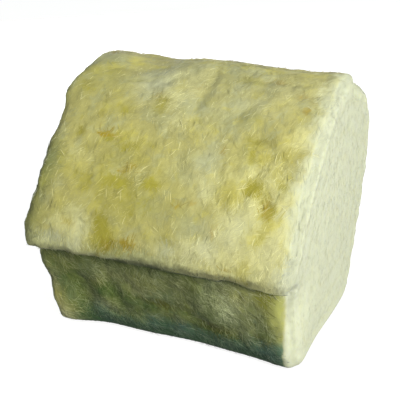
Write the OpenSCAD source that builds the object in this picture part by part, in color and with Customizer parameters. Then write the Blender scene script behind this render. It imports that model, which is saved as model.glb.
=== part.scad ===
// Roll of glass wool insulation, wound from one blanket and slumped under its own weight.
// X runs along the roll, the loose end of the blanket is in front (-Y), and Z is up.
// The section is a spiral whose turns all have the same squashed outline. Each turn's
// edges are rounded over, so that the turns stand out on both ends with a seam between them.

/* [Blanket] */
// Width of the blanket, which is the length of the roll
roll_l = 600; // [400:10:1200]
// Thickness of one turn, as squeezed in the roll
turn_t = 50; // [40:1:60]
// How much fuller the roll is in the middle than at its ends
crown = 3; // [0:1:12]

/* [Ends] */
// How deep the outermost turn is rounded over at each end
rim_d = 18; // [8:1:30]
// Depth of the seam between two turns on the ends
seam_d = 7; // [3:1:12]

/* [Squashed outline] */
// Height of the winding's centre above the floor
centre_h = 251; // [240:1:258]
// Direction that the sloping front faces, in degrees from the back over the top
slope_dir = 134; // [130:1:142]
// Distance from the centre to the sloping front
slope_d = 249; // [240:1:265]
// Direction that the top faces
top_dir = 64; // [58:1:75]
// Distance from the centre to the top
top_d = 354; // [340:1:370]
// Direction that the back faces
back_dir = -21; // [-26:1:-10]
// Distance from the centre to the back
back_d = 314; // [300:1:330]
// Direction that the front wall faces
wall_dir = 195; // [190:1:200]
// Distance from the centre to the front wall
wall_d = 287; // [275:1:300]
// Squareness of the soft corners between these sides
squareness = 4; // [3:0.5:6]
// Distance from the centre to the underside, before the floor flattens it
under_d = 310; // [300:1:325]
// Squareness of the two corners on the floor
foot_squareness = 14; // [8:1:20]

/* [Loose end] */
// Direction of the blanket's loose end, seen from the centre
flap_dir = 185; // [176:1:190]
// Length of the loose end's rounded nose
nose_l = 23; // [10:1:30]

/* [Hidden] */

// Steps round one turn and along the roll
turn_steps = 60;
length_steps = 5;

sides = [
    [slope_dir, slope_d],
    [top_dir, top_d],
    [back_dir, back_d],
    [wall_dir, wall_d],
];
mean_d = (slope_d + top_d + back_d + wall_d) / len(sides);

// Rows across a turn, as shares of its thickness, and how far each is rounded over
rows = [0, 0.14, 0.5, 0.86, 1];
inner_rows = [for (k = [1 : len(rows) - 2]) k];
function swell(share) = sqrt(1 - pow(2 * share - 1, 2));

function sum(list, i = 0) = i < len(list) ? list[i] + sum(list, i + 1) : 0;
function toward(a, dir) = max(0, cos(a - dir));

// Distance from the centre to the outermost turn: flat sides with soft corners between
// them, and a flat underside with tighter corners
function soft_r(a) = pow(sum([for (s = sides) pow(toward(a, s[0]) / s[1], squareness)]), -1 / squareness);
function side_r(a) =
    pow(pow(soft_r(a), -foot_squareness) + pow(toward(a, 270) / under_d, foot_squareness), -1 / foot_squareness);

// Distance from the centre to the spiral, so many turns in from the loose end
function angle_at(n) = flap_dir - 360 * n;
function spiral_r(n) = side_r(angle_at(n)) * (1 - n * turn_t / mean_d);

// Size of the section at x, for the crown along the roll
function size_at(x) = 1 - crown / mean_d * pow(2 * x / roll_l, 2);

// A point at x along the roll, n turns in and a share of the way to the next turn,
// moved forward round the winding. The floor stops what would sink into it.
function wool(x, n, share = 0, forward = 0) =
    let (a = angle_at(n))
    let (r = (spiral_r(n) * (1 - share) + spiral_r(n + 1) * share) * size_at(x))
    [x, r * cos(a) - forward * sin(a), max(0, centre_h + r * sin(a) + forward * cos(a))];

// How far the blanket's edge is rounded over at a seam: as a rim up to the crease under the
// loose end, then less and less to the plain depth of the seams
fade_turn = 0.1;
function edge_d(n) = max(seam_d, rim_d - (rim_d - seam_d) * max(0, n - 1) / fade_turn);

// Where a row meets the left (-1) or right (1) end of the roll
function end_x(end, n, share = 0) =
    end * (roll_l / 2 - edge_d(share < 0.5 ? n : n + 1) * (1 - swell(share)));

// Rows of points along the roll: once round the outermost turn, then over the nose of the loose end
stations = [for (j = [0 : length_steps]) 2 * j / length_steps - 1];
function row_along(n, share) = [
    for (s = stations) wool(end_x(s, n, share), n, share, n == 0 ? nose_l * swell(share) : 0)
];
skin_rows = [
    for (i = [0 : turn_steps]) row_along(i / turn_steps, 0),
    for (k = [len(rows) - 2 : -1 : 1]) row_along(0, rows[k]),
];

y_values = [for (row = skin_rows, p = row) p[1]];
y_mid = (min(y_values) + max(y_values)) / 2;

// Turns from the loose end to the core, where about half a turn has no room left to wind
turns = mean_d / turn_t - 0.45;
// Steps along the spiral on an end: of the seam, and of the turns, which end one turn before it
seam_steps = floor(turns * turn_steps);
end_steps = seam_steps - turn_steps;

// Points on an end that the skin doesn't have: the seam, the rows across each turn, the core
function end_points(end) = [
    for (i = [turn_steps + 1 : seam_steps]) wool(end_x(end, i / turn_steps), i / turn_steps),
    for (k = inner_rows, i = [1 : end_steps])
        wool(end_x(end, i / turn_steps, rows[k]), i / turn_steps, rows[k]),
    [end_x(end, turns), 0, centre_h],
];

// Number of a point in the list of all points: in the skin, and on an end by its row and step
per_row = len(stations);
skin_count = len(skin_rows) * per_row;
end_count = len(end_points(1));
function in_skin(r, j) = (r % len(skin_rows)) * per_row + j;
function on_end(end, i) = skin_count + (end < 0 ? 0 : end_count) + i;
function on_rim(end, r) = in_skin(r, end < 0 ? 0 : per_row - 1);
function seam_point(end, i) = i <= turn_steps ? on_rim(end, i) : on_end(end, i - turn_steps - 1);
function turn_point(end, k, i) =
    k == 0 ? seam_point(end, i) :
    k == len(rows) - 1 ? seam_point(end, i + turn_steps) :
    i == 0 ? on_rim(end, len(skin_rows) - k) :
    on_end(end, seam_steps - turn_steps + (k - 1) * end_steps + i - 1);

// Two triangles for four corners, and the same seen from the other side
function quad(a, b, c, d) = [[a, b, c], [a, c, d]];
function facing(end, faces) = end > 0 ? faces : [for (f = faces) [f[2], f[1], f[0]]];

skin_faces = [
    for (r = [0 : len(skin_rows) - 1], j = [0 : per_row - 2])
        each quad(in_skin(r, j), in_skin(r + 1, j), in_skin(r + 1, j + 1), in_skin(r, j + 1)),
];
function turn_faces(end) = [
    for (i = [0 : end_steps - 1], k = [0 : len(rows) - 2])
        each quad(turn_point(end, k, i), turn_point(end, k, i + 1),
                  turn_point(end, k + 1, i + 1), turn_point(end, k + 1, i)),
];
function core_faces(end) =
    let (core = on_end(end, end_count - 1))
    [
        for (i = [end_steps : seam_steps - 1]) [core, seam_point(end, i), seam_point(end, i + 1)],
        for (k = [len(rows) - 1 : -1 : 1]) [core, turn_point(end, k, end_steps), turn_point(end, k - 1, end_steps)],
    ];

module blanket_roll() {
    points = concat([for (row = skin_rows) each row], end_points(-1), end_points(1));
    faces = concat(
        skin_faces,
        [for (end = [-1, 1]) each facing(end, concat(turn_faces(end), core_faces(end)))]
    );
    color([0.86, 0.84, 0.55])
        translate([0, -y_mid, 0])
            polyhedron(points, faces);
}

blanket_roll();
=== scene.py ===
# %% [markdown]
# # A slumped roll of glass wool
#
# The roll is one long blanket of yellow glass wool, wound up and squashed by its own weight. The CAD
# model gives its size and its winding, and stays fixed. This script gives it its looks: lumps and
# hollows in the felt, stains from the binder, pale cut ends, and loose fibres.

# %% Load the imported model
import math

import bmesh
import bpy
import numpy as np
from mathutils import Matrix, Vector, noise
from mathutils.bvhtree import BVHTree


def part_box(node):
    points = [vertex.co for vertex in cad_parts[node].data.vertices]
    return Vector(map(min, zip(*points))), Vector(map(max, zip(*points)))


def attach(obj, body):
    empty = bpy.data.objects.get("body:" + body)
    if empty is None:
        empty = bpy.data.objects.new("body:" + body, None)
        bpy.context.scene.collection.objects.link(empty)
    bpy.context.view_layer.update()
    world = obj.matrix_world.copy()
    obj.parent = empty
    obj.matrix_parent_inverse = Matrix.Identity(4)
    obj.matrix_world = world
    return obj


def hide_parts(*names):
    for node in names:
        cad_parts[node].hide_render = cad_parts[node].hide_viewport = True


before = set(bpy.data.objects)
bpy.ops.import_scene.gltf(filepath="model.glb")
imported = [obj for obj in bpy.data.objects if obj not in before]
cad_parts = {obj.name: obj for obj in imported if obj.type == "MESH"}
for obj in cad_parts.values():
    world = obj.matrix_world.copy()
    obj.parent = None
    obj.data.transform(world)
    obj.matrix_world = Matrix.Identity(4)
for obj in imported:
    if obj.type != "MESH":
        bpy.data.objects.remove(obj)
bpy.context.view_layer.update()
scene = bpy.context.scene
scene.view_settings.view_transform = "Standard"
roll_low, roll_high = (Vector(corner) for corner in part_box("blanket_roll"))
half_l = roll_high.x
print("roll from", tuple(roll_low), "to", tuple(roll_high))

# %% [markdown]
# ## The camera
#
# A camera is placed by hand, or worked out from the picture. Here the place comes from the picture: it
# looks down on the sloping front from the roll's right, with a lens that is long enough for the far
# edges to stay nearly parallel to the near ones.

# %% Set up the camera
CAMERA_AT = (0.7512, -1.8366, 1.1299)
CAMERA_DOWN = math.radians(23.87)
CAMERA_TURN = math.radians(22.82)
SENSOR_MM = 36
LENS_MM = 84.96
ROLL_MIDDLE = Vector((0, 0, 0.25))
camera = bpy.data.objects.new("camera", bpy.data.cameras.new("camera"))
camera.location = CAMERA_AT
camera.rotation_euler = (math.pi / 2 - CAMERA_DOWN, 0, CAMERA_TURN)
camera.data.sensor_width = SENSOR_MM
camera.data.lens = LENS_MM
scene.collection.objects.link(camera)
scene.camera = camera
print("camera", round((camera.location - ROLL_MIDDLE).length, 2), "m from the roll's middle")

# %% [markdown]
# ## Shader maths as Python
#
# Every material below is a tree of nodes. Linking dozens of nodes by hand hides the idea, so one small
# class wraps an output socket. Arithmetic on it adds Math nodes, and node() adds any other node.


# %% A socket that does arithmetic
class Wire:
    """An output socket of a node tree, or just the tree where no socket is given."""

    def __init__(self, tree, socket=None):
        self.tree = tree
        self.socket = socket

    def feed(self, socket, value):
        """Links a wire to an input socket, or sets the socket to a plain value."""
        if isinstance(value, Wire):
            self.tree.links.new(value.socket, socket)
        else:
            socket.default_value = value

    def node(self, kind, settings=None, output=0, **values):
        """Adds a node: its settings first, then the values or links of its sockets."""
        made = self.tree.nodes.new("ShaderNode" + kind)
        for name, value in (settings or {}).items():
            setattr(made, name, value)
        for name, value in values.items():
            # A name such as B_Color picks the socket of that identifier, and Scale the one of that name
            socket = next(s for s in made.inputs if name in (s.identifier, s.name.replace(" ", "_")))
            self.feed(socket, value)
        return Wire(self.tree, made.outputs[output] if made.outputs else None)

    def math(self, operation, *values):
        made = self.tree.nodes.new("ShaderNodeMath")
        made.operation = operation
        for socket, value in zip(made.inputs, values):
            self.feed(socket, value)
        return Wire(self.tree, made.outputs[0])

    def __add__(self, other):
        return self.math("ADD", self, other)

    def __sub__(self, other):
        return self.math("SUBTRACT", self, other)

    def __rsub__(self, other):
        return self.math("SUBTRACT", other, self)

    def __mul__(self, other):
        return self.math("MULTIPLY", self, other)

    __radd__ = __add__
    __rmul__ = __mul__

    def clamp(self):
        return self.node("Clamp", Value=self, Min=0.0, Max=1.0)

    def blend(self, other, share):
        """This colour, turned towards another by a share from 0 to 1."""
        return self.node(
            "Mix", {"data_type": "RGBA"}, output=2, Factor_Float=share, A_Color=self, B_Color=other
        )

    def times(self, factors):
        """This colour or vector, multiplied part by part."""
        return self.node("VectorMath", {"operation": "MULTIPLY"}, Vector=self, Vector_001=factors)


def linear(red, green, blue):
    """A colour as a paint chart gives it, 0 to 255, in the linear values that nodes use."""
    def part(value):
        value = value / 255
        return value / 12.92 if value <= 0.04045 else ((value + 0.055) / 1.055) ** 2.4
    return part(red), part(green), part(blue)


def new_material(name):
    material = bpy.data.materials.new(name)
    material.use_nodes = True
    material.node_tree.nodes.clear()
    return material, Wire(material.node_tree)


print("a mid grey of 128 is", round(linear(128, 128, 128)[0], 3), "in linear light")

# %% [markdown]
# ## The studio
#
# Glass wool is pale and matt, so it needs one soft lamp to show its lumps. A large area lamp stands to
# the right of the camera: the right end gets most of it, the slope less, and the wall under the loose
# end hardly any. The floor is white for the camera, and darker for the light that bounces from it,
# because a bright floor would fill the shadow on the front wall.

# %% Lay the floor
FLOOR_SIZE = 12.0
FLOOR_SHOWN = (0.40, 0.40, 0.40, 1)
FLOOR_BOUNCE = (0.11, 0.12, 0.12, 1)
FLOOR_GLOW = 0.82
WHITE = (1, 1, 1, 1)
floor_shape = bmesh.new()
bmesh.ops.create_grid(floor_shape, x_segments=1, y_segments=1, size=FLOOR_SIZE / 2)
floor_mesh = bpy.data.meshes.new("floor")
floor_shape.to_mesh(floor_mesh)
floor_shape.free()
floor = bpy.data.objects.new("floor", floor_mesh)
scene.collection.objects.link(floor)


def seen_directly(paint):
    """1 for rays that show the stage to the camera, also in a mirror or through glass, and 0 for light."""
    path = paint.node("LightPath")
    outputs = path.socket.node.outputs
    rays = ("Is Camera Ray", "Is Glossy Ray", "Is Transmission Ray")
    seen = [Wire(paint.tree, outputs[name]) for name in rays]
    return (seen[0] + seen[1] + seen[2]).clamp()


floor_material, paint = new_material("white_floor")
lit = paint.node("BsdfDiffuse", Color=FLOOR_SHOWN)
bounce = paint.node("BsdfDiffuse", Color=FLOOR_BOUNCE)
glow = paint.node("Emission", Color=WHITE, Strength=FLOOR_GLOW)
shown = paint.node("AddShader", Shader=lit, Shader_001=glow)
surface = paint.node("MixShader", Fac=seen_directly(paint), Shader=bounce, Shader_001=shown)
paint.node("OutputMaterial", Surface=surface)
floor_mesh.materials.append(floor_material)
print("floor is", FLOOR_SIZE, "m wide")

# %% Fill the shadows from all round
FILL_LIGHT = 0.32
FILL_COLOUR = (0.91, 1, 0.96, 1)
world = bpy.data.worlds.new("studio")
scene.world = world
world.use_nodes = True
world.node_tree.nodes.clear()
sky = Wire(world.node_tree)
fill = sky.node("Background", Color=FILL_COLOUR, Strength=FILL_LIGHT)
backdrop = sky.node("Background", Color=WHITE, Strength=1.0)
around = sky.node("MixShader", Fac=seen_directly(sky), Shader=fill, Shader_001=backdrop)
sky.node("OutputWorld", Surface=around)
print("fill light of", FILL_LIGHT)


# %% Hang the lamps
def area_lamp(name, place, aim, size, power, colour):
    lamp = bpy.data.objects.new(name, bpy.data.lights.new(name, "AREA"))
    lamp.data.shape = "DISK"
    lamp.data.size = size
    lamp.data.energy = power
    lamp.data.color = colour
    lamp.location = place
    lamp.rotation_euler = (Vector(aim) - Vector(place)).to_track_quat("-Z", "Y").to_euler()
    scene.collection.objects.link(lamp)
    return lamp


key = area_lamp("key", (5.04, -3.68, 3.00), (0, 0, 0.28), size=3.0, power=440, colour=(1.0, 0.985, 0.945))
back = area_lamp("back", (-1.9, 2.3, 0.45), (0, 0, 0.3), size=1.4, power=80, colour=(0.95, 0.98, 1.0))
print("lamps", key.name, "and", back.name)

# %% [markdown]
# ## The winding
#
# The blanket runs round the roll in a spiral: over the slope, the top, the back and the underside, and
# up the front wall to the crease under its own loose end. The sizes below repeat the CAD model's, in
# metres. With them every point of the wool knows how far round it lies and how many turns deep.

# %% Find places on the winding
CENTRE_Y = -0.0270
CENTRE_Z = 0.251
TURN_T = 0.050
FLAP_DIR = 185
SIDES = ((134, 0.249), (64, 0.354), (-21, 0.314), (195, 0.287))
SQUARENESS = 4
UNDER_DIR = 270
UNDER_D = 0.310
FOOT_SQUARENESS = 14
MEAN_D = sum(distance for _, distance in SIDES) / len(SIDES)
ROUND_STEPS = 720


def side_r(angle):
    """Distance from the winding's centre to the outermost turn."""
    def toward(direction):
        return np.maximum(0, np.cos(np.radians(angle - direction)))
    soft = sum((toward(direction) / distance) ** SQUARENESS for direction, distance in SIDES)
    foot = (toward(UNDER_DIR) / UNDER_D) ** FOOT_SQUARENESS
    return (soft ** (FOOT_SQUARENESS / SQUARENESS) + foot) ** (-1 / FOOT_SQUARENESS)


round_shares = np.linspace(0, 1, ROUND_STEPS + 1)
round_angles = np.radians(FLAP_DIR - 360 * round_shares)
round_r = side_r(np.degrees(round_angles))
round_spots = np.stack([round_r * np.cos(round_angles), round_r * np.sin(round_angles)], 1)
round_steps = np.linalg.norm(np.diff(round_spots, axis=0), axis=1)
round_lengths = np.concatenate([[0], np.cumsum(round_steps)])


def winding(spots):
    """For points: the share of a turn from the loose end, and the depth below the skin, in turns."""
    across = spots[:, 1] - CENTRE_Y
    above = spots[:, 2] - CENTRE_Z
    angle = np.degrees(np.arctan2(above, across))
    share = ((FLAP_DIR - angle) / 360) % 1
    inward = (1 - np.hypot(across, above) / side_r(angle)) * MEAN_D / TURN_T
    # The rounded nose of the loose end hangs a little way before the start
    nose = inward - share < -0.5
    share = np.where(nose, share - 1, share)
    return share, inward - share


def arc(share):
    """Length of blanket from the loose end, in metres, at a share of the first turn."""
    return np.interp(share, round_shares, round_lengths) + np.minimum(0, share) * round_lengths[-1]


print("one turn of blanket is", round(round_lengths[-1], 3), "m long")

# %% [markdown]
# ## The wool body
#
# The CAD solid is made of long flat triangles, which can't be dented. A voxel remesh turns a copy of it
# into small even squares, like clay for sculpting, and a smoothing pass takes the steps out of it. The
# voxels are as small as the limit on triangles allows, so that the felt's lumps come out in the mesh
# itself.

# %% Make the clay for the body
VOXEL = 0.0047
SMOOTH_PASSES = 5
SAME_POINT = 1e-5
clay_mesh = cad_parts["blanket_roll"].data.copy()
clay_shape = bmesh.new()
clay_shape.from_mesh(clay_mesh)
bmesh.ops.remove_doubles(clay_shape, verts=clay_shape.verts, dist=SAME_POINT)
clay_shape.to_mesh(clay_mesh)
clay_shape.free()
clay = bpy.data.objects.new("clay", clay_mesh)
scene.collection.objects.link(clay)
remesh = clay.modifiers.new("even squares", "REMESH")
remesh.mode = "VOXEL"
remesh.voxel_size = VOXEL
soften = clay.modifiers.new("no steps", "SMOOTH")
soften.iterations = SMOOTH_PASSES
finished_clay = clay.evaluated_get(bpy.context.evaluated_depsgraph_get())
wool_mesh = bpy.data.meshes.new_from_object(finished_clay)
wool_mesh.name = "wool"
bpy.data.objects.remove(clay)
wool_mesh.materials.clear()
wool = bpy.data.objects.new("wool_blanket", wool_mesh)
scene.collection.objects.link(wool)
wool_mesh.polygons.foreach_set("use_smooth", np.ones(len(wool_mesh.polygons), bool))


def read_points(mesh, what="co"):
    values = np.empty(len(mesh.vertices) * 3, np.float32)
    mesh.vertices.foreach_get(what, values)
    return values.reshape(-1, 3).astype(float)


spots = read_points(wool_mesh)
out = read_points(wool_mesh, "normal")
print("clay has", len(spots), "points")

# %% [markdown]
# ## Skin, cut ends and floor
#
# Three masks steer everything that follows. The blanket's cut edges face along X on both ends, its skin
# is the rest, and what lies on the floor stays flat. smooth() is the usual soft step between two
# limits, and cloud() is soft noise. Its seed shifts it, so that no two uses of it look alike.

# %% Mask the skin, the ends and the underside
SEED_SHIFT = Vector((17.3, 5.1, 9.7))


def smooth(low, high, values):
    share = np.clip((values - low) / (high - low), 0, 1)
    return share * share * (3 - 2 * share)


def cloud(points, size, octaves, seed):
    """Soft noise, mostly between -1 and 1, with lumps of about this size in metres."""
    shift = SEED_SHIFT * seed
    return np.array([noise.fractal(Vector(p) / size + shift, 1.0, 2.0, octaves) for p in points])


share_round, depth = winding(spots)
along_roll = spots[:, 0].copy()
along_blanket = arc(share_round)
cut = smooth(0.40, 0.88, np.abs(out[:, 0]))
free = smooth(0.003, 0.045, spots[:, 2])
print("cut ends take", round(float(cut.mean()) * 100), "% of the points")

# %% [markdown]
# ## Slump
#
# No two ends of a soft roll hang alike. Here the loose end droops and stands out at the left corner,
# the ends splay on the floor, and the top sags behind a tuft. Lattices or sculpting could do this by
# hand. In code each of these is one pull on the clay: a place, how far it reaches, and which way it
# drags the wool.

# %% Pull the clay
PULLS = (
    # place, reach, drag
    ((-0.300, -0.292, 0.240), 0.060, (-0.019, -0.004, -0.004)),
    ((-0.290, -0.200, 0.415), 0.040, (-0.003, 0.000, 0.000)),
    ((-0.290, -0.130, 0.480), 0.035, (0.004, 0.001, -0.001)),
    ((-0.290, -0.060, 0.530), 0.040, (-0.009, 0.000, 0.003)),
    ((-0.300, -0.090, 0.500), 0.028, (-0.009, 0.000, 0.002)),
    ((-0.305, 0.010, 0.550), 0.028, (0.006, 0.000, -0.010)),
    ((-0.245, 0.050, 0.557), 0.025, (0.000, 0.004, 0.004)),
    ((-0.140, 0.035, 0.556), 0.055, (0.000, 0.000, -0.018)),
    ((-0.030, 0.040, 0.558), 0.060, (0.000, 0.000, 0.007)),
    ((0.100, 0.040, 0.558), 0.050, (0.000, 0.000, 0.003)),
    ((0.235, 0.040, 0.556), 0.050, (0.000, 0.000, 0.005)),
    ((0.280, 0.060, 0.555), 0.030, (0.008, 0.000, 0.008)),
    ((0.300, -0.050, 0.300), 0.120, (0.002, 0.000, 0.000)),
    ((0.300, -0.260, 0.150), 0.055, (-0.024, 0.000, 0.000)),
    ((-0.260, -0.230, 0.015), 0.055, (0.008, -0.030, 0.000)),
    ((-0.315, -0.205, 0.040), 0.040, (0.022, 0.000, 0.000)),
    ((-0.300, -0.262, 0.212), 0.022, (0.012, 0.000, 0.000)),
    ((0.300, -0.100, 0.000), 0.080, (-0.006, 0.000, 0.000)),
    ((0.300, -0.250, 0.040), 0.035, (-0.012, 0.000, 0.000)),
    ((-0.305, -0.225, 0.150), 0.040, (-0.004, 0.000, 0.000)),
    ((0.285, -0.230, 0.020), 0.060, (0.004, -0.028, 0.000)),
    ((0.160, -0.230, 0.010), 0.060, (0.000, -0.008, 0.000)),
    ((-0.070, -0.235, 0.010), 0.055, (0.000, -0.007, 0.000)),
)


def nearness(place, reach):
    """1 at a place, falling softly to 0 over its reach, for every point of the wool."""
    return np.exp(-np.sum((spots - place) ** 2, axis=1) / (2 * reach**2))


for place, reach, drag in PULLS:
    spots += nearness(place, reach)[:, None] * np.array(drag)
print(len(PULLS), "pulls on the clay")

# %% [markdown]
# ## The loose end
#
# The blanket's end was cut by hand, so its lip never hangs straight, and the wool swells into the
# crease under it. A brush could drag this into shape. A line of heights along the roll is easier to
# read and to change.

# %% Let the lip hang unevenly
# Metres right of the middle, and how far the lip hangs higher or lower there
LIP_LINE = (
    (-0.300, 0.000), (-0.200, 0.004), (-0.150, 0.003), (-0.120, 0.006),
    (-0.085, 0.014), (-0.020, 0.013), (0.120, 0.011), (0.200, 0.007), (0.300, 0.006),
)
LIP_STEP = 0.0025
# Millimetres in a metre, for what is printed
MM = 1000
lip_x, lip_rise = np.array(LIP_LINE).T
on_lip = smooth(0.080, 0.000, along_blanket) * smooth(1.0, 0.8, depth)
lip_steps = LIP_STEP * cloud(spots * (1, 0, 0), 0.030, 2, seed=7)
spots[:, 2] += on_lip * (np.interp(along_roll, lip_x, lip_rise) + lip_steps)
print("lip hangs over", round((lip_rise.max() - lip_rise.min()) * MM), "mm of height")

# %% Fill the crease under the lip
# The crease's place in the section, its reach, and how far the wool swells out of it, across and up
CREASE_AT = (-0.254, 0.240)
CREASE_REACH = 0.016
CREASE_FILL = (-0.020, -0.008)
RIGHT_FILL = 0.8
tucked = np.exp(-np.sum((spots[:, 1:] - CREASE_AT) ** 2, axis=1) / (2 * CREASE_REACH**2))
tucked = tucked * (1 + RIGHT_FILL * smooth(0.14, 0.26, along_roll))
spots[:, 1:] += tucked[:, None] * np.array(CREASE_FILL)
print("crease filled at", int((tucked > 0.1).sum()), "points")

# %% Round off the skin near the ends
# The wall swells up to the lip on the right, and the skin sinks at both ends
WALL_SWELL = 0.007
LEFT_SINK = 0.003
RIGHT_SINK = 0.011
inward = np.array((CENTRE_Y, CENTRE_Z)) - spots[:, 1:]
inward = inward / np.linalg.norm(inward, axis=1, keepdims=True)
swollen = smooth(0.16, 0.26, along_roll) * smooth(0.298, 0.270, along_roll)
swollen = swollen * smooth(1.88, 1.98, along_blanket)
spots[:, 1] -= WALL_SWELL * swollen
outer_turn = smooth(1.2, 0.2, depth)
fall_away = smooth(-0.255, -0.300, along_roll) * smooth(0.30, 0.24, share_round) * outer_turn
spots[:, 1:] += inward * (LEFT_SINK * fall_away)[:, None]
worn_round = smooth(0.228, 0.300, along_roll) * smooth(0.19, 0.10, along_blanket) * outer_turn
spots[:, 1:] += inward * (RIGHT_SINK * worn_round * smooth(-0.03, 0.03, along_blanket))[:, None]
print("skin sinks by up to", round(RIGHT_SINK * float(worn_round.max()) * MM, 1), "mm")

# %% [markdown]
# ## A torn corner
#
# Handling has torn the outer turn back at the right end of the top. A Boolean would leave a clean cut,
# which felt never has, so the wool is pulled back and down there, less and less with the distance.

# %% Tear the outer turn back at one corner
TORN_AT = 0.625
TORN_REACH = 0.024
TORN_BACK = 0.040
TORN_DOWN = 0.014
torn = np.exp(-((along_blanket - TORN_AT) ** 2) / (2 * TORN_REACH**2))
torn = torn * smooth(0.85, 0.45, depth) * smooth(0.17, 0.27, along_roll)
spots[:, 0] -= TORN_BACK * torn
spots[:, 1:] += inward * (TORN_DOWN * torn)[:, None]
print("torn corner moves", int((torn > 0.1).sum()), "points")

# %% [markdown]
# ## Lumps and seams
#
# Felt is lumpy at several sizes at once. Noise moves each point along its normal: broad swells, then
# puffs with creases between them, then a fine nap. A Displace modifier would do the same everywhere,
# but here the cut ends stay much flatter. The seams of the winding are partly closed, as wool swells
# into any gap.

# %% Close the seams on the ends
# Share of a seam's depth that is closed, on the right end and on the left
SEAM_CLOSED = (0.90, 0.55)
RIM_WAVE = 0.0035
which_end = np.sign(spots[:, 0])
seam_closed = np.where(spots[:, 0] > 0, *SEAM_CLOSED)
inside_end = cut * smooth(0.25, 0.55, depth)
spots[:, 0] += which_end * inside_end * seam_closed * np.maximum(0, half_l - np.abs(along_roll))
near_rim = smooth(0.245, 0.290, np.abs(along_roll)) * smooth(1.0, 0.4, depth) * free
spots[:, 0] += which_end * near_rim * RIM_WAVE * cloud(spots, 0.032, 3, seed=6)
print("seams closed by", SEAM_CLOSED)

# %% Raise the lumps
SWELL = 0.0036
PUFF = 0.0060
# What rounds the creases between puffs, and what noise counts as neither puff nor crease
PUFF_ROUND = 0.03
PUFF_LEVEL = 0.28
NAP = 0.0010
END_NAP = 0.0006
END_SWELL = 0.25
swell = SWELL * cloud(spots, 0.150, 2, seed=1)
puffs = PUFF * (np.sqrt(cloud(spots, 0.075, 2, seed=2) ** 2 + PUFF_ROUND) - PUFF_LEVEL)
nap = NAP * cloud(spots, 0.022, 2, seed=3)
end_nap = END_NAP * cloud(spots, 0.030, 2, seed=4)
height = (1 - cut) * (swell + puffs + nap) + cut * (END_SWELL * swell + end_nap)
spots += out * (height * free)[:, None]
print("lumps up to", round(float(np.abs(height).max()) * MM, 1), "mm")

# %% [markdown]
# ## Hollows and creases
#
# A few dents and tufts on the real roll are large enough to throw a shadow, and folds run over the top
# and down the wall. They could be sculpted by hand. Tables of places do it here, so each one can be
# moved alone.

# %% Press the hollows
HOLLOWS = (
    # place, reach, depth: hollows sink, and tufts are negative hollows
    ((-0.200, -0.245, 0.110), 0.020, 0.006), ((-0.156, -0.240, 0.098), 0.016, -0.008),
    ((-0.243, -0.228, 0.066), 0.020, -0.010), ((-0.100, -0.245, 0.140), 0.025, 0.006),
    ((-0.137, -0.252, 0.158), 0.014, 0.005), ((0.020, -0.246, 0.140), 0.030, 0.005),
    ((0.090, -0.244, 0.120), 0.026, -0.005), ((0.190, -0.194, 0.424), 0.014, 0.002),
    ((0.216, -0.234, 0.378), 0.012, 0.002), ((0.256, -0.199, 0.417), 0.012, 0.002),
    ((0.165, -0.192, 0.426), 0.010, -0.002), ((0.210, -0.205, 0.412), 0.012, -0.003),
    ((0.204, -0.148, 0.465), 0.016, -0.004), ((0.245, -0.235, 0.375), 0.014, -0.002),
    ((-0.110, -0.296, 0.250), 0.020, 0.003), ((-0.146, -0.292, 0.258), 0.012, -0.002),
    ((-0.190, -0.294, 0.264), 0.014, -0.002), ((-0.292, -0.250, 0.150), 0.010, -0.005),
    ((-0.290, -0.235, 0.060), 0.010, -0.005), ((-0.292, -0.245, 0.105), 0.010, 0.005),
    ((-0.292, -0.262, 0.200), 0.010, 0.005),
)
for place, reach, deep in HOLLOWS:
    spots -= out * (nearness(place, reach) * deep)[:, None]
print(len(HOLLOWS), "hollows and tufts")

# %% Press the creases
CREASES = (
    # points as metres right of the middle and metres from the loose end, half width, depth
    (((0.020, 0.470), (0.014, 0.432), (0.010, 0.396), (0.011, 0.358), (0.016, 0.332)), 0.013, 0.0050),
    (((-0.170, 0.425), (-0.120, 0.432), (-0.080, 0.428)), 0.007, 0.0015),
    (((0.090, 0.455), (0.150, 0.465), (0.225, 0.462)), 0.006, 0.0020),
    (((0.140, 0.298), (0.170, 0.296), (0.195, 0.292)), 0.008, 0.0030),
    (((-0.225, 1.920), (-0.205, 1.870), (-0.190, 1.815)), 0.013, 0.0025),
    (((-0.140, 1.930), (-0.115, 1.875), (-0.100, 1.840)), 0.011, 0.0030),
    (((-0.060, 1.890), (0.040, 1.885), (0.100, 1.850), (0.160, 1.845)), 0.010, 0.0025),
)
WAVER = 0.003


def near_line(points):
    """Distance to a line of straight stretches on the blanket's face."""
    here = np.stack([along_roll, along_blanket], 1)
    nearest = np.full(len(here), np.inf)
    for start, end in zip(np.array(points), np.array(points)[1:]):
        way = end - start
        share = np.clip((here - start) @ way / (way @ way), 0, 1)
        nearest = np.minimum(nearest, np.linalg.norm(here - start - share[:, None] * way, axis=1))
    return nearest


crease = np.zeros(len(spots))
for points, wide, deep in CREASES:
    off_line = near_line(points) + WAVER * cloud(spots, 0.015, 2, seed=5)
    valley = np.exp(-(off_line**2) / (2 * wide**2)) * (1 - cut)
    spots -= out * (valley * deep)[:, None]
    crease = np.maximum(crease, valley)
spots[:, 2] = np.maximum(0, spots[:, 2])
wool_mesh.vertices.foreach_set("co", spots.astype(np.float32).ravel())
wool_mesh.update()
print(len(CREASES), "creases pressed")

# %% [markdown]
# ## Where the crease runs out
#
# Towards the right the lip has grown together with the wall, so the crease under it gets shallow. A
# smooth brush would be used by hand. Here the points near the crease are smoothed many times, and each
# pass starts further to the right, so that only the right end gets all of them.

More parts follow.
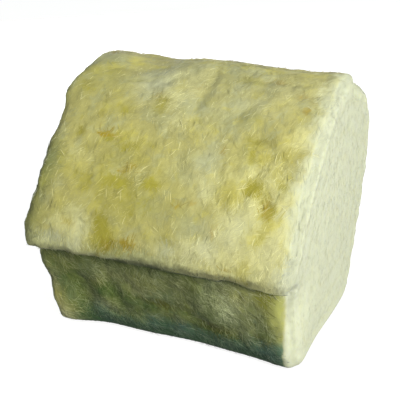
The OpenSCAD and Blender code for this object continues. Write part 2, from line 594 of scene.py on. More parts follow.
# %% Smooth the crease towards the right
SOFT_AT = (-0.266, 0.236)
SOFT_REACH = 0.030
SOFT_RUN = 0.23
SOFT_PASSES = 44
soft_shape = bmesh.new()
soft_shape.from_mesh(wool_mesh)
in_crease = [
    v for v in soft_shape.verts if math.hypot(v.co.y - SOFT_AT[0], v.co.z - SOFT_AT[1]) < SOFT_REACH
]
for step in range(SOFT_PASSES):
    limit = SOFT_RUN * step / SOFT_PASSES
    right_part = [v for v in in_crease if v.co.x > limit]
    bmesh.ops.smooth_vert(
        soft_shape, verts=right_part, factor=0.5, use_axis_x=True, use_axis_y=True, use_axis_z=True
    )
soft_shape.to_mesh(wool_mesh)
soft_shape.free()
spots = read_points(wool_mesh)
out = read_points(wool_mesh, "normal")
print("body from", spots.min(0).round(3), "to", spots.max(0).round(3))

# %% [markdown]
# ## Where the colours lie
#
# The binder that holds glass wool together bakes unevenly, so the skin is cream, straw and olive in
# soft patches, with a few ochre spots. An image could be wrapped round the roll. The patches are
# painted as masks on the mesh instead, part noise and part listed, because the loose fibres later take
# the colour of the spot that they grow from.

# %% A brush for soft patches
RAGGED = 0.010
RAGGED_SIZE = 0.028


def patch(x, y, place):
    """1 in the middle of a soft patch on the blanket's face, falling to 0 over its reach."""
    right, down, wide, long = place
    spread = ((x - right) / wide) ** 2 + ((y - down) / long) ** 2
    return np.exp(-spread / 2)


def patches(table, seed):
    """A mask of soft patches with ragged edges."""
    x = along_roll + RAGGED * cloud(spots, RAGGED_SIZE, 3, seed=seed)
    y = along_blanket + RAGGED * cloud(spots, RAGGED_SIZE, 3, seed=seed + 1)
    mask = np.zeros(len(spots))
    for *place, strength in table:
        mask = np.maximum(mask, strength * patch(x, y, place))
    return np.minimum(1, mask)


mottle = cloud(spots, 0.105, 3, seed=11)
mottle_small = cloud(spots, 0.040, 3, seed=12)
mottle_fine = cloud(spots, 0.016, 2, seed=15)
baked = cloud(spots, 0.034, 3, seed=16)
# Noise has its full strength only where no patches are placed by hand, at the back and underneath
hidden = smooth(0.50, 0.60, share_round) * smooth(0.84, 0.80, share_round)
noise_share = 0.40 + 0.60 * hidden
print("mottle from", mottle.min().round(2), "to", mottle.max().round(2))

# %% Olive patches and ochre spots
OLIVE_PATCHES = (
    # metres right of the roll's middle, metres from the loose end, reach along both, strength
    (-0.120, 0.210, 0.080, 0.050, 0.45), (-0.020, 0.190, 0.050, 0.050, 0.35),
    (-0.070, 0.120, 0.090, 0.045, 0.55), (-0.210, 0.300, 0.050, 0.050, 0.30),
    (-0.145, 0.335, 0.022, 0.014, 0.7), (-0.070, 0.355, 0.014, 0.026, 0.8),
    (-0.255, 0.380, 0.024, 0.022, 0.5), (-0.225, 0.260, 0.012, 0.014, 0.7),
    (-0.155, 0.255, 0.014, 0.014, 0.8), (-0.110, 0.242, 0.030, 0.016, 0.7),
    (-0.055, 0.250, 0.024, 0.012, 0.5), (-0.110, 0.155, 0.034, 0.018, 0.8),
    (-0.035, 0.165, 0.024, 0.018, 0.8), (-0.180, 0.150, 0.026, 0.026, 0.6),
    (-0.122, 0.050, 0.015, 0.030, 1.1), (-0.120, 0.020, 0.022, 0.016, 1.1),
    (0.030, 0.060, 0.022, 0.018, 0.4), (0.110, 0.455, 0.026, 0.012, 0.9),
    (0.150, 0.345, 0.018, 0.024, 0.5), (0.165, 0.295, 0.026, 0.010, 0.65),
    (0.160, 0.262, 0.010, 0.016, 0.7), (0.110, 0.212, 0.010, 0.014, 0.4),
    (0.185, 0.184, 0.017, 0.014, 1.2), (0.214, 0.172, 0.010, 0.020, 0.6),
    (0.222, 0.150, 0.012, 0.014, 0.75), (0.232, 0.262, 0.018, 0.022, 0.55),
    (0.254, 0.212, 0.012, 0.016, 0.9), (0.216, 0.098, 0.012, 0.022, 0.6),
    (0.236, 1.982, 0.022, 0.024, 1.0),
)
OCHRE_SPOTS = (
    (-0.170, 0.263, 0.012, 0.005, 1.0), (-0.155, 0.262, 0.008, 0.004, 0.8),
    (-0.250, 0.525, 0.014, 0.008, 0.8), (0.102, 0.260, 0.008, 0.007, 0.7),
    (-0.105, 0.022, 0.018, 0.010, 0.7), (-0.060, 0.022, 0.024, 0.009, 0.8),
    (0.158, 0.012, 0.014, 0.006, 0.7), (0.224, 0.150, 0.007, 0.014, 0.7),
    (0.160, 0.462, 0.028, 0.004, 0.8), (0.225, 0.430, 0.016, 0.010, 0.6),
    (0.064, 0.140, 0.010, 0.007, 0.6), (-0.200, 0.053, 0.016, 0.007, 0.5),
    (-0.020, 1.890, 0.050, 0.010, 0.7), (0.110, 1.850, 0.050, 0.012, 0.8),
    (0.225, 1.862, 0.024, 0.012, 0.6),
)
SPECKS = 0.16
OLIVE_AS_CREASE_SHADE = 0.45
OCHRE_NOISE = 0.6
olive = noise_share * smooth(0.05, 0.75, 0.7 * mottle + 0.45 * mottle_small)
olive = np.maximum(olive + SPECKS * mottle_fine, patches(OLIVE_PATCHES, 21))
# Olive darkens the creases, as painted shade
olive = np.maximum(olive, OLIVE_AS_CREASE_SHADE * crease)
ochre = OCHRE_NOISE * smooth(0.66, 0.95, cloud(spots, 0.055, 3, seed=14))
ochre = np.maximum(ochre, patches(OCHRE_SPOTS, 41))
print(len(OLIVE_PATCHES), "olive patches and", len(OCHRE_SPOTS), "ochre spots")

# %% Pale patches
# Some of these are painted light: the broad ones on the right, and some that lighten hollows
PALE_PATCHES = (
    (-0.080, 0.410, 0.110, 0.045, 0.45), (-0.070, 0.450, 0.060, 0.030, 0.70),
    (0.060, 0.500, 0.200, 0.040, 0.40), (0.120, 0.370, 0.080, 0.040, 0.12),
    (0.200, 0.150, 0.080, 0.110, 0.75), (-0.195, 0.055, 0.030, 0.028, 1.1),
    (-0.045, 0.392, 0.022, 0.036, 0.8), (-0.020, 0.315, 0.014, 0.020, 0.8),
    (0.104, 0.380, 0.030, 0.024, 0.35), (0.165, 0.335, 0.016, 0.024, 0.15),
    (-0.230, 0.200, 0.014, 0.022, 0.7), (-0.176, 0.028, 0.022, 0.020, 1.0),
    (0.012, 0.215, 0.034, 0.034, 0.5), (0.048, 0.098, 0.026, 0.014, 0.4),
    (0.090, 0.045, 0.040, 0.024, 0.8), (0.040, 0.022, 0.020, 0.010, 0.4),
    (0.170, 0.100, 0.040, 0.026, 1.3), (0.205, 0.052, 0.050, 0.030, 1.1),
    (0.255, 0.120, 0.026, 0.050, 1.1), (0.165, 0.132, 0.030, 0.014, 0.7),
    (0.223, 0.228, 0.010, 0.018, 1.0), (0.224, 0.204, 0.010, 0.018, 1.0),
    (0.100, 0.175, 0.026, 0.028, 0.9), (-0.166, 0.040, 0.016, 0.026, 1.0),
    (0.182, 0.030, 0.040, 0.022, 1.1), (-0.195, 0.200, 0.022, 0.020, 0.5),
    (0.126, 0.034, 0.024, 0.020, 1.2), (0.240, 0.190, 0.010, 0.030, 0.9),
    (0.255, 0.316, 0.024, 0.024, 0.9), (0.150, 0.205, 0.012, 0.026, 0.5),
    (-0.262, 1.795, 0.030, 0.028, 1.0), (-0.160, 1.866, 0.022, 0.022, 0.6),
    (0.140, 1.930, 0.040, 0.024, 0.7),
)
PALE_LIP = 0.7
pale = noise_share * smooth(0.05, 0.70, -0.7 * mottle + 0.45 * cloud(spots, 0.050, 3, seed=13))
pale = np.maximum(pale - SPECKS * mottle_fine, patches(PALE_PATCHES, 31))
# The lip's edge is painted pale, as painted light on the underside of the lip
lip_edge = smooth(0.018, 0.002, along_blanket) * (1 - cut)
pale = np.maximum(pale, PALE_LIP * lip_edge)
print(len(PALE_PATCHES), "pale patches")

# %% Dull and yellow patches
DULL_PATCHES = (
    (0.000, 0.362, 0.040, 0.030, 0.8), (0.092, 0.385, 0.030, 0.022, 0.7),
    (0.100, 0.313, 0.030, 0.018, 0.7), (0.155, 0.390, 0.025, 0.018, 0.5),
    (-0.112, 0.220, 0.030, 0.030, 0.5), (0.068, 0.236, 0.040, 0.026, 0.7),
    (0.028, 0.196, 0.040, 0.022, 0.6), (-0.030, 0.122, 0.040, 0.030, 0.7),
    (0.075, 0.087, 0.030, 0.026, 0.7), (0.030, 0.029, 0.020, 0.014, 0.7),
    (0.167, 0.114, 0.020, 0.018, 0.5), (-0.278, 0.192, 0.020, 0.022, 0.5),
    (-0.257, 0.015, 0.040, 0.018, 0.9), (0.211, 0.019, 0.016, 0.012, 0.7),
    (0.060, 0.500, 0.100, 0.018, 0.8), (-0.240, 0.500, 0.040, 0.030, 0.8),
    (0.110, 0.350, 0.050, 0.030, 0.7), (0.250, 0.345, 0.020, 0.030, 0.6),
    (-0.245, 0.180, 0.020, 0.020, 0.5),
)
YELLOW_PATCHES = (
    (-0.143, 0.144, 0.018, 0.040, 0.7), (-0.204, 0.158, 0.018, 0.045, 0.6),
    (-0.125, 0.266, 0.032, 0.018, 0.7), (-0.100, 0.049, 0.018, 0.022, 0.6),
    (0.140, 0.164, 0.026, 0.028, 0.8), (0.192, 0.255, 0.014, 0.018, 0.8),
    (0.238, 0.130, 0.018, 0.022, 0.8), (0.210, 0.089, 0.020, 0.020, 0.7),
    (-0.260, 0.435, 0.024, 0.016, 0.6), (0.089, 0.460, 0.030, 0.012, 0.6),
    (0.182, 0.483, 0.034, 0.014, 0.6), (-0.224, 0.091, 0.020, 0.020, 0.5),
    (0.262, 1.950, 0.026, 0.060, 0.9),
)
BAKED_NOISE = 0.55
dull = np.maximum(BAKED_NOISE * smooth(0.0, 0.5, baked), patches(DULL_PATCHES, 51))
yellow = np.maximum(BAKED_NOISE * smooth(0.0, 0.5, -baked), patches(YELLOW_PATCHES, 61))
print(len(DULL_PATCHES), "dull patches and", len(YELLOW_PATCHES), "yellow ones")

# %% [markdown]
# ## Pale ends and a bleached edge
#
# The cut ends are paler than the skin, and the skin itself is bleached towards the right end and in a
# few tufts. A second material on the ends would leave a hard border. One mask with ragged limits lets
# the skin's colour fade into the end's.

# %% Find the ends and their edges
right_end = smooth(0.10, 0.45, out[:, 0])
left_end = smooth(0.55, 0.85, -out[:, 0])
facing_end = np.where(along_roll > 0, right_end, left_end) * smooth(0.245, 0.272, np.abs(along_roll))
wall_edge = smooth(0.266, 0.273, spots[:, 0] + 0.002 * mottle_fine)
facing_end = np.where((share_round > 0.84) & (along_roll > 0), wall_edge, facing_end)
on_front = smooth(0.845, 0.870, share_round) * (1 - cut)
# Painted shade on the rounded rim towards the right end, against the lamp's highlight there
rim = smooth(0.30, 0.60, out[:, 0]) * smooth(1.0, 0.80, out[:, 0])
rim = rim * smooth(0.24, 0.28, along_roll) * (1 - on_front)
# The rolled-over left edge of the slope, which gets painted shade, darker and olive
left_edge_shade = smooth(-0.238, -0.285, along_roll) * smooth(0.27, 0.21, along_blanket)
left_edge_shade = left_edge_shade * smooth(-0.02, 0.04, along_blanket)
print("front wall takes", round(float(on_front.mean()) * 100), "% of the points")

# %% Bleach the skin
WHITE_TUFTS = (
    (-0.195, 0.012, 0.036, 0.009, 0.5), (-0.175, 0.036, 0.012, 0.030, 0.3),
    (-0.100, 0.415, 0.030, 0.036, 0.6), (-0.115, 0.455, 0.030, 0.020, 0.5),
    (0.108, 0.050, 0.022, 0.034, 0.4), (0.150, 0.085, 0.026, 0.030, 0.3),
    (0.060, 0.030, 0.050, 0.016, 0.3), (0.250, 0.060, 0.026, 0.040, 0.2),
    (0.080, 0.220, 0.020, 0.060, 0.25), (0.020, 0.360, 0.060, 0.050, 0.20),
    (0.140, 0.390, 0.050, 0.020, 0.25), (0.170, 0.110, 0.020, 0.020, 0.3),
)
WEATHERED_TOP = 0.20
BLEACHED_RIGHT = 0.75
bleached = smooth(0.236, 0.286, along_roll + 0.022 * mottle_small + 0.012 * mottle_fine)
weathered = WEATHERED_TOP * smooth(0.34, 0.43, along_blanket + 0.03 * mottle)
weathered = weathered * smooth(0.30, 0.27, share_round) * smooth(-0.18, -0.08, along_roll)
weathered = np.maximum(weathered, patches(WHITE_TUFTS, 71))
on_skin = np.maximum(BLEACHED_RIGHT * bleached**1.5, weathered) * (1 - on_front)
bleached_edge = np.maximum(facing_end, on_skin)
print(len(WHITE_TUFTS), "white tufts")

# %% Shade the seams, and let the other colours give way
# How much of the pale colour a seam loses, on the left end and on the right
SEAM_SHADE = (0.42, 0.10)
SEAM_WIDTH = 0.08
seam = np.exp(-(((depth - np.round(depth)) / SEAM_WIDTH) ** 2) / 2) * smooth(0.4, 0.7, depth) * cut
seam_shade = np.where(along_roll < 0, *SEAM_SHADE) * seam * (1 + 0.6 * mottle_small)
bleached_edge = bleached_edge * (1 - seam_shade)
# Painted cream at the bottom of the slope near the right end, partly as painted light, with the bleached
# edge
cream_and_painted_light = smooth(0.215, 0.255, along_roll + 0.022 * mottle_small) * smooth(0.26, 0.16, along_blanket)
cream_and_painted_light = np.maximum(cream_and_painted_light, bleached) * (1 - on_front)
pale = np.maximum(pale, 0.9 * cream_and_painted_light)
yellow = yellow * (1 - bleached * (1 - on_front))
# Olive is part of the left edge's painted shade
olive = np.maximum(olive * (1 - 0.8 * bleached), 0.3 * left_edge_shade)
print("seams take", round(float(seam.mean()) * 100, 1), "% of the points")

# %% [markdown]
# ## Dirt and painted shade
#
# The front wall is darker all over, partly from dirt and partly as painted shade under the lip, with
# darker and lighter patches: stains, painted shade in its creases, at its foot and under the lip, and
# painted light where the lip's shadow is lifted on the right. The blue-green of shade is painted on the
# wall and under the lip. Both could be one more layer of noise in the material. As masks, one that
# darkens the wool and one that turns it blue-green, the patches can be placed, and the fibres on the
# wall get the same colours.

# %% Darken the wall with dirt and painted shade
WALL_STAINS_SHADE_AND_LIGHT = (
    # places and reaches as above, and how much darker the wall is there, or lighter: stains, painted
    # shade in creases, and painted light that lifts the lip's shadow on the right
    (-0.255, 1.925, 0.035, 0.034, 0.25), (-0.215, 1.860, 0.014, 0.034, 0.18),
    (0.203, 1.855, 0.024, 0.024, -0.32), (0.097, 1.925, 0.020, 0.020, 0.12),
    (-0.060, 1.865, 0.030, 0.014, 0.12), (-0.243, 1.839, 0.026, 0.026, -0.10),
    (-0.032, 1.886, 0.018, 0.018, 0.16), (0.160, 1.900, 0.030, 0.040, -0.10),
    (-0.142, 1.908, 0.024, 0.020, 0.26), (-0.080, 1.885, 0.030, 0.014, 0.25),
    (0.040, 1.885, 0.040, 0.012, 0.10), (0.095, 1.850, 0.040, 0.016, 0.14),
    (0.140, 1.845, 0.030, 0.014, 0.15), (0.226, 1.868, 0.016, 0.014, 0.22),
    (0.184, 1.862, 0.014, 0.016, -0.15), (-0.209, 1.816, 0.026, 0.018, 0.25),
    (-0.282, 1.860, 0.014, 0.060, -0.60), (-0.080, 1.956, 0.040, 0.020, -0.18),
    (-0.156, 1.860, 0.018, 0.018, -0.06), (-0.280, 1.795, 0.024, 0.036, -0.75),
    (0.152, 1.942, 0.034, 0.028, -0.40), (0.200, 2.000, 0.060, 0.030, -0.60),
    (0.275, 1.910, 0.016, 0.110, -0.80), (0.256, 1.985, 0.030, 0.036, -0.72),
)
WALL_DIRT_AND_SHADE = 0.69
FOOT_SHADOW = 0.45
UNDER_LIP_SHADOW = 0.10
# Painted shade over the whole wall, with some dirt, a little darker towards the left
wall_darkening = WALL_DIRT_AND_SHADE + 0.03 * smooth(0.0, -0.2, along_roll)
for *place, change in WALL_STAINS_SHADE_AND_LIGHT:
    wall_darkening += change * patch(along_roll, along_blanket, place)
wall_darkening += 0.14 * mottle_small + 0.12 * mottle_fine
# Painted contact shadow along the foot of the wall, except at its left corner
wall_darkening += FOOT_SHADOW * smooth(0.055, 0.01, spots[:, 2]) * smooth(-0.24, -0.20, along_roll)
# Painted shadow at the top of the wall under the lip, fading out towards the right end
wall_darkening += UNDER_LIP_SHADOW * smooth(1.985, 2.015, along_blanket) * smooth(0.24, 0.18, along_roll)
print(len(WALL_STAINS_SHADE_AND_LIGHT), "stains on the wall")

# %% Darken the slope with stains and painted shade
# Places where the slope is darker: some stains, and painted shade, as along the left edge
SLOPE_STAINS_AND_SHADE = (
    (-0.040, 0.120, 0.100, 0.080, 0.08), (-0.095, 0.012, 0.034, 0.014, 0.30),
    (-0.232, 0.068, 0.020, 0.016, 0.14), (0.050, 0.108, 0.018, 0.016, 0.18),
    (0.000, 0.060, 0.030, 0.020, 0.12), (0.020, 0.048, 0.032, 0.020, 0.15),
    (-0.235, 0.430, 0.050, 0.050, 0.18), (0.065, 0.455, 0.050, 0.030, 0.13),
    (0.060, 0.340, 0.020, 0.016, 0.08), (0.136, 0.346, 0.014, 0.030, 0.12),
    (0.147, 0.272, 0.014, 0.024, 0.12), (0.168, 0.242, 0.012, 0.018, 0.12),
    (-0.266, 0.172, 0.026, 0.032, 0.20), (-0.275, 0.400, 0.024, 0.060, 0.16),
    (-0.090, 0.077, 0.016, 0.012, 0.16),
)
# Painted shade near the floor, on the rolled-over left edge, and on the lip's edge around the middle
FLOOR_SHADE = 0.30
LEFT_SHADE = 0.45
LIP_EDGE_SHADE = 0.10
lip_left = smooth(0.12, 0.0, along_roll)
slope_darkening = FLOOR_SHADE * smooth(0.10, 0.01, spots[:, 2] + 0.03 * mottle) + LEFT_SHADE * left_edge_shade
slope_darkening += LIP_EDGE_SHADE * lip_edge * lip_left * smooth(-0.16, -0.11, along_roll)
slope_darkening += patches(SLOPE_STAINS_AND_SHADE, 81)
# One mask of dirt and painted shade, from the wall's or from the slope's
grime = np.clip(np.where(share_round > 0.80, on_front * wall_darkening, slope_darkening), 0, 1) * (1 - bleached_edge)
print(len(SLOPE_STAINS_AND_SHADE), "stains on the slope")

# %% Paint the blue-green of shade on the wall and under the lip
LIP_GREEN_SHADE = 0.18
higher_right = 0.012 * smooth(0.12, 0.20, along_roll)
# Painted blue-green of shade along the wall's foot, a little over all the wall, and under the lip
green_shade = smooth(1.882, 1.824, along_blanket - higher_right + 0.012 * mottle + 0.010 * mottle_small)
green_shade = green_shade * smooth(-0.235, -0.175, along_roll)
wall_green_shade = 0.10 + 0.13 * smooth(-0.24, -0.12, along_roll) + 0.14 * smooth(0.0, 0.12, along_roll)
green_shade = on_front * np.maximum(green_shade, wall_green_shade)
under_lip = LIP_GREEN_SHADE * smooth(0.03, 0.0, along_blanket) * (0.3 + 0.7 * lip_left)
green_shade = np.maximum(green_shade, under_lip) * (1 - bleached_edge)
print("damp up to", round(float(green_shade.max()), 2))

# %% Store the masks on the mesh
masks = {
    "dull": dull, "yellow": yellow, "pale": pale, "olive": olive, "ochre": ochre,
    "grime": grime, "green_shade": green_shade, "cut": bleached_edge, "rim": rim,
}
for name, values in masks.items():
    layer = wool_mesh.attributes.new(name, "FLOAT", "POINT")
    layer.data.foreach_set("value", values.astype(np.float32))
    print(name, "covers", round(float(values.mean()) * 100), "%")

# Two more layers hold places on the blanket: on its face, and on its cut edge
below_skin = depth * TURN_T
skin_place = np.stack([along_roll, along_blanket, np.zeros(len(spots))], 1)
end_place = np.stack([below_skin, along_blanket * (1 - below_skin / MEAN_D), spots[:, 0]], 1)
for name, values in (("skin_place", skin_place), ("end_place", end_place)):
    layer = wool_mesh.attributes.new(name, "FLOAT_VECTOR", "POINT")
    layer.data.foreach_set("vector", values.astype(np.float32).ravel())

# %% [markdown]
# ## The wool's finish
#
# Glass wool is matt, with a soft sheen where thousands of fine fibres catch the light. A photo texture
# would bring its own light with it, so the colour mixes the masks from above, some of which paint shade
# and light in as well. Stretched noise adds fibres that are too fine for the mesh, along the way that
# they lie: up and across the slope on the skin, and along the turns on the cut ends.

# %% Mix the wool's colour
STRAW = linear(208, 201, 126)
DULL = linear(198, 197, 143)
YELLOW = linear(216, 207, 110)
CREAM = linear(233, 228, 158)
OLIVE = linear(189, 180, 74)
OCHRE = linear(192, 168, 56)
CUT = linear(231, 235, 203)
# Filters, as shares of red, green and blue that they let through
# All three paint shade: dirt with painted shade, the blue-green of shade, and shade on the rim
DIRT_AND_SHADE_FILTER = (0.155, 0.250, 0.150)
GREEN_SHADE_FILTER = (0.32, 0.57, 1.00)
RIM_SHADE_FILTER = (0.80, 0.80, 0.79)
# In the order that they cover each other
BINDER_COLOURS = (("dull", DULL), ("pale", CREAM), ("yellow", YELLOW), ("olive", OLIVE), ("ochre", OCHRE))


def colour(chart):
    return (*chart, 1)


def attribute(paint, name, output=2):
    """A layer of the mesh, as a number, or as a vector where output is 1."""
    return paint.node("Attribute", {"attribute_name": name}, output=output)


def wool_colour(paint, ruffle):
    """The masks' colours, with ragged edges where ruffle, about -0.5 to 0.5, lifts or lowers a mask."""
    def ragged(name):
        mask = attribute(paint, name) + ruffle
        return paint.node(
            "MapRange", {"interpolation_type": "SMOOTHSTEP"}, Value=mask, From_Min=0.22, From_Max=0.78
        )

    tone = paint.node("RGB")
    tone.socket.default_value = colour(STRAW)
    for name, chart in BINDER_COLOURS:
        tone = tone.blend(colour(chart), ragged(name))
    tone = tone.blend(tone.times(DIRT_AND_SHADE_FILTER), attribute(paint, "grime") * (1.0 + ruffle))
    tone = tone.blend(tone.times(GREEN_SHADE_FILTER), attribute(paint, "green_shade"))
    tone = tone.blend(colour(CUT), attribute(paint, "cut"))
    return tone.blend(tone.times(RIM_SHADE_FILTER), attribute(paint, "rim"))


print(len(BINDER_COLOURS), "colours over straw")

# %% Make the wool's material
SKIN_SLANT = math.radians(68)
END_SLANT = math.radians(90)
STRETCH = 6.0
# Sizes of the noise, as lumps in a metre
SKIN_STREAKS = 130.0
END_STREAKS = 110.0
GRAIN = 620.0
FELT = 95.0
# How strongly each shows as light and shade or as relief, on the skin and on the cut ends
FIBRE_LIGHT = (0.22, 0.03)
FELT_LIGHT = (0.18, 0.03)
GRAIN_LIGHT = (0.42, 0.11)
FIBRE_RELIEF = (0.8, 0.06)
GRAIN_RELIEF = (0.4, 0.10)
GRAIN_IN_DIRT_AND_SHADE = 0.45


def streaks(paint, place, slant, scale, detail):
    """Fibres as noise that is stretched along one way."""
    turned = paint.node("Mapping", Vector=place, Rotation=(0, 0, -slant))
    long = turned.times((1 / STRETCH, 1, 1))
    return paint.node("TexNoise", Vector=long, Scale=scale, Detail=detail, Roughness=0.65)


def wool_material():
    material, paint = new_material("glass_wool")
    is_cut = attribute(paint, "cut")

    def skin_to_end(skin, end):
        return skin - (skin - end) * is_cut

    skin = attribute(paint, "skin_place", output=1)
    end = attribute(paint, "end_place", output=1)
    skin_streaks = streaks(paint, skin, SKIN_SLANT, SKIN_STREAKS, detail=4.0)
    end_streaks = streaks(paint, end, END_SLANT, END_STREAKS, detail=3.0)
    # Output 3 is the place on the object itself
    at = paint.node("TexCoord", output=3)
    grain = paint.node("TexNoise", Vector=at, Scale=GRAIN, Detail=2.0, Roughness=0.6) - 0.5
    felt = paint.node("TexNoise", Vector=at, Scale=FELT, Detail=5.0, Roughness=0.65) - 0.5
    fibre = skin_streaks * (1 - is_cut) + end_streaks * is_cut - 0.5
    light = fibre * skin_to_end(*FIBRE_LIGHT) + felt * skin_to_end(*FELT_LIGHT) + 1.0
    light = light + grain * (skin_to_end(*GRAIN_LIGHT) + GRAIN_IN_DIRT_AND_SHADE * attribute(paint, "grime"))
    tone = wool_colour(paint, felt * 0.6 + fibre * 0.4)
    shaded = paint.node("VectorMath", {"operation": "SCALE"}, Vector=tone, Scale=light)
    relief = fibre * skin_to_end(*FIBRE_RELIEF) + grain * skin_to_end(*GRAIN_RELIEF)
    bump = paint.node("Bump", Height=relief, Strength=0.30, Distance=0.0015)
    finish = paint.node(
        "BsdfPrincipled", Base_Color=shaded, Normal=bump, Roughness=0.92, Specular_IOR_Level=0.18,
        Sheen_Weight=0.12, Sheen_Roughness=0.5, Subsurface_Weight=0.3,
        Subsurface_Radius=(1.0, 0.9, 0.5), Subsurface_Scale=0.008,
    )
    paint.node("OutputMaterial", Surface=finish)
    return material


wool_mesh.materials.append(wool_material())
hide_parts("blanket_roll")
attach(wool, "root")
print("wool body has", sum(len(p.vertices) - 2 for p in wool_mesh.polygons), "triangles")

# %% [markdown]
# ## Loose fibres
#
# Close up, the skin is a mat of fibres. Hair particles would be lost outside Blender, so each fibre is
# a thin three-sided spike, pointed at both ends, and thousands are joined in one mesh. A fibre starts
# at a random point and creeps along the surface: every step is pulled back to the nearest place on the
# wool, so it follows each lump.

# %% Let a fibre creep over the wool
wool_tree = BVHTree.FromPolygons(
    [Vector(p) for p in spots], [tuple(p.vertices) for p in wool_mesh.polygons]
)
face_point = np.array([p.vertices[0] for p in wool_mesh.polygons])
ALONG_ROLL = Vector((1, 0, 0))
UPRIGHT = Vector((0, 0, 1))
FACES_END = 0.3
SPINE = 4


def creep(root, slant, length, bend, lift):
    """A fibre's spine over the wool, the normal at each of its points, and the face that it grows from."""
    place, normal, face, _ = wool_tree.find_nearest(root)
    up = normal.cross(ALONG_ROLL)
    if up.length < FACES_END:
        up = UPRIGHT
    side = up.cross(normal).normalized()
    up = normal.cross(side)
    spine = [place + normal * lift[0]]
    normals = [normal]
    for step in range(1, SPINE):
        turn = slant + bend * (step / SPINE - 0.5)
        heading = side * math.cos(turn) + up * math.sin(turn)
        place = place + heading * (length / (SPINE - 1))
        place, normal, _, _ = wool_tree.find_nearest(place)
        spine.append(place + normal * lift[step])
        normals.append(normal)
    return spine, normals, face


print("fibres creep over", len(face_point), "faces")

# %% Give a fibre its thickness
RING = 3
RING_WIDTHS = (1.0, 0.9)
FIBRE_POINTS = 2 + RING * len(RING_WIDTHS)


def spike(spine, normals, width):
    """Points of one fibre, from its root to its tip, and the way that each of them faces."""
    points = [spine[0]]
    leans = [normals[0]]
    for ring, fat in enumerate(RING_WIDTHS, 1):
        ahead = (spine[ring + 1] - spine[ring - 1]).normalized()
        beside = normals[ring].cross(ahead).normalized()
        above = ahead.cross(beside)
        for k in range(RING):
            angle = 2 * math.pi * (k + 0.25) / RING
            outward = beside * math.cos(angle) + above * math.sin(angle)
            points.append(spine[ring] + outward * (width * fat / 2))
            leans.append(normals[ring])
    return [*points, spine[-1]], [*leans, normals[-1]]


def fibre_faces():
    """Triangles of one fibre, and where each lies on the fibre's unrolled skin."""
    tip = FIBRE_POINTS - 1
    faces = []
    places = []
    for k in range(RING):
        n = (k + 1) % RING
        left, middle, right = k / RING, (k + 0.5) / RING, (k + 1) / RING
        faces.append((0, 1 + n, 1 + k))
        places.append(((0, middle), (1 / 3, right), (1 / 3, left)))
        faces.append((1 + k, 1 + n, 1 + RING + n))
        places.append(((1 / 3, left), (1 / 3, right), (2 / 3, right)))
        faces.append((1 + k, 1 + RING + n, 1 + RING + k))
        places.append(((1 / 3, left), (2 / 3, right), (2 / 3, left)))
        faces.append((1 + RING + k, 1 + RING + n, tip))
        places.append(((2 / 3, left), (2 / 3, right), (1, middle)))
    return np.array(faces), np.array(places)


print("one fibre has", FIBRE_POINTS, "points and", len(fibre_faces()[0]), "triangles")

# %% Join fibres in one mesh
MARGIN = 0.1


def join_fibres(name, points, leans):
    """A mesh of fibres, each with its own square in the OFBake map, for its colour to be baked into."""
    count = len(points)
    pattern, places = fibre_faces()
    faces = (pattern[None] + (np.arange(count) * FIBRE_POINTS)[:, None, None]).reshape(-1, 3)
    mesh = bpy.data.meshes.new(name)
    mesh.from_pydata(points.reshape(-1, 3).tolist(), [], faces.tolist())
    mesh.polygons.foreach_set("use_smooth", np.ones(len(faces), bool))
    mesh.normals_split_custom_set_from_vertices(leans.reshape(-1, 3).tolist())
    row = math.ceil(math.sqrt(count))
    squares = np.stack([np.arange(count) % row, np.arange(count) // row], 1)
    baked_at = (squares[:, None, None] + MARGIN + (1 - 2 * MARGIN) * places[None]) / row
    mesh.uv_layers.new(name="OFBake").data.foreach_set("uv", baked_at.astype(np.float32).ravel())
    return mesh


def mark_fibres(mesh, name, values):
    """Stores one value for each fibre on all of its points."""
    layer = mesh.attributes.new(name, "FLOAT", "POINT")
    layer.data.foreach_set("value", np.repeat(values, FIBRE_POINTS).astype(np.float32))


print("a fibre's square has a margin of", MARGIN)

# %% [markdown]
# ## The fibres' finish
#
# A fibre has the colour of the wool under it, and some are painted the pale colour of glass, as painted
# glints where fibres catch the light. Each could have a material of its own. One material that reads a
# tint from the mesh does for all, and dirt and painted shade take the painted glint away.

# %% A finish for the fibres
GLASS = linear(236, 235, 200)
SHINY_FROM = 0.6


def fibre_material():
    material, paint = new_material("glass_fibre")
    tint = attribute(paint, "tint")
    bright = paint.node("MapRange", Value=tint, To_Min=0.60, To_Max=1.40)
    # Shiny fibres are painted glints in the colour of glass, taken away where dirt and painted shade lie
    shiny = (tint - SHINY_FROM).clamp() * (1.1 - 0.95 * attribute(paint, "grime"))
    tone = wool_colour(paint, 0.0).blend(colour(GLASS), shiny)
    shaded = paint.node("VectorMath", {"operation": "SCALE"}, Vector=tone, Scale=bright)
    finish = paint.node(
        "BsdfPrincipled", Base_Color=shaded, Roughness=0.7, Specular_IOR_Level=0.3, Sheen_Weight=0.1
    )
    paint.node("OutputMaterial", Surface=finish)
    return material


fibre_finish = fibre_material()
print("finish", fibre_finish.name, "has", len(fibre_finish.node_tree.nodes), "nodes")

# %% Lay fibres on the wool
FAINT = 1e-9
# Shares of the usual length and width, and how much a fibre bends
LENGTHS = (0.55, 1.45)
WIDTHS = (0.6, 1.4)
BEND = 0.55
# How far each point of the spine stands off the wool, and how far the tip of a stray fibre does
LIFTS = (-0.0006, 0.0004, 0.0005, -0.0005)
STRAY_RISE = (0.002, 0.006)
USUAL_TINT = 0.45
SHINY_TINTS = (0.62, 0.85)
OFF_FLOOR = 0.0002


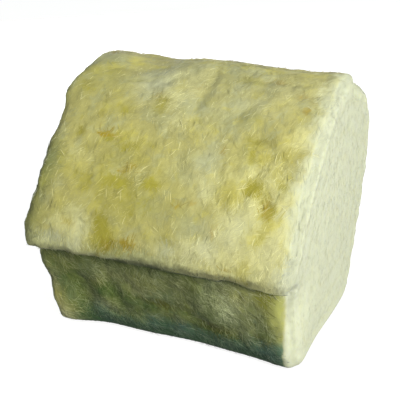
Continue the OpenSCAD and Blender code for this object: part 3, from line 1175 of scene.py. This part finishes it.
def lay_fibres(
    name, count, weight, slants, length, width, seed, stray=0.05, shine=0.05, mixed=0.6, spread=0.07
):
    """A piece of fibres. weight says where they grow, and slants which way they lie.

    stray and shine are the shares that stand up and that look bright. mixed and spread say how much
    their directions and their tints vary.
    """
    rng = np.random.RandomState(seed)
    weight = weight + FAINT
    chosen = rng.choice(len(spots), count, p=weight / weight.sum())
    jitter = rng.uniform(-0.5, 0.5, (count, 3)) * VOXEL
    bends = rng.normal(0, BEND, count)
    lengths = length * rng.uniform(*LENGTHS, count)
    widths = width * rng.uniform(*WIDTHS, count)
    turns = slants[chosen] + rng.normal(0, mixed, count)
    lifts = np.tile(LIFTS, (count, 1))
    strays = rng.uniform(0, 1, count) < stray
    rises = rng.uniform(*STRAY_RISE, strays.sum())
    lifts[strays] += np.linspace(0, 1, SPINE)[None] ** 1.5 * rises[:, None]
    tints = np.clip(rng.normal(USUAL_TINT, spread, count), 0, 1)
    shiny = rng.uniform(0, 1, count) < shine
    tints[shiny] = rng.uniform(*SHINY_TINTS, shiny.sum())
    points = np.empty((count, FIBRE_POINTS, 3))
    leans = np.empty_like(points)
    grown_from = np.empty(count, int)
    for i in range(count):
        root = Vector(spots[chosen[i]] + jitter[i])
        spine, normals, face = creep(root, turns[i], lengths[i], bends[i], lifts[i])
        points[i], leans[i] = spike(spine, normals, widths[i])
        grown_from[i] = face_point[face]
    points[:, :, 2] = np.maximum(OFF_FLOOR, points[:, :, 2])
    mesh = join_fibres(name, points, leans)
    for mask, values in masks.items():
        mark_fibres(mesh, mask, values[grown_from])
    mark_fibres(mesh, "tint", tints)
    mesh.materials.append(fibre_finish)
    piece = bpy.data.objects.new(name, mesh)
    scene.collection.objects.link(piece)
    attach(piece, "root")
    print(name, "has", count, "fibres and", len(mesh.polygons), "triangles")


way = cloud(spots, 0.120, 2, seed=51)
tufts = 0.2 + smooth(-0.1, 0.5, cloud(spots, 0.070, 2, seed=52))
print("fibres turn by up to", round(float(np.abs(way).max()), 2), "with the noise")

# %% [markdown]
# ## Where the fibres lie
#
# On the slope, the top and the back the fibres lie up and across, with a few thick strands among them.
# On the wall they hang, on the cut ends they are short and lie every way, and along the lip they make a
# fringe. One even coat would look like fur, so each place has its own piece, with its own length, width
# and direction.

# %% Fibres on the slope, the top and the back
FINE = dict(count=15500, length=0.021, width=0.0008)
STRANDS = dict(count=2800, length=0.026, width=0.0015, stray=0.02, shine=0.14, mixed=0.5, spread=0.09)
skin_slant = np.radians(70) + 0.5 * way
on_slope = (1 - cut) * smooth(0.02, 0.0, share_round - 0.27) * tufts
on_back = (1 - cut) * smooth(0.24, 0.27, share_round) * smooth(0.86, 0.83, share_round) * free * tufts
left_of_edge = smooth(0.27, 0.24, along_roll)
lay_fibres("slope_fibres", weight=on_slope, slants=skin_slant, seed=61, **FINE)
lay_fibres("slope_strands", weight=on_slope * left_of_edge, slants=skin_slant, seed=66, **STRANDS)
lay_fibres("back_strands", weight=on_back, slants=skin_slant, seed=67, **STRANDS)
lay_fibres("back_fibres", weight=on_back, slants=skin_slant, seed=62, **FINE)

# %% Fibres on the wall, the ends and the lip
on_wall = (1 - cut) * smooth(0.83, 0.86, share_round) * free * tufts * smooth(0.262, 0.235, along_roll)
on_nose = (1 - cut) * smooth(0.025, 0.012, share_round) * smooth(0.35, 0.1, depth)
wall_slant = np.radians(-50) + 0.5 * way
end_slant = np.radians(90) + 0.4 * way
lip_slant = np.radians(-90) + 0.3 * way
lay_fibres(
    "wall_fibres", count=10000, weight=on_wall, slants=wall_slant, length=0.030, width=0.0007, seed=63,
    shine=0.11, spread=0.46,
)
lay_fibres(
    "end_fibres", count=9000, weight=cut * free, slants=end_slant, length=0.012, width=0.0006, seed=64,
    stray=0.01, shine=0.04, mixed=1.2,
)
lay_fibres(
    "loose_end_fringe", count=1800, weight=on_nose, slants=lip_slant, length=0.020, width=0.0008, seed=65,
    stray=0.12, shine=0.4, mixed=0.3,
)
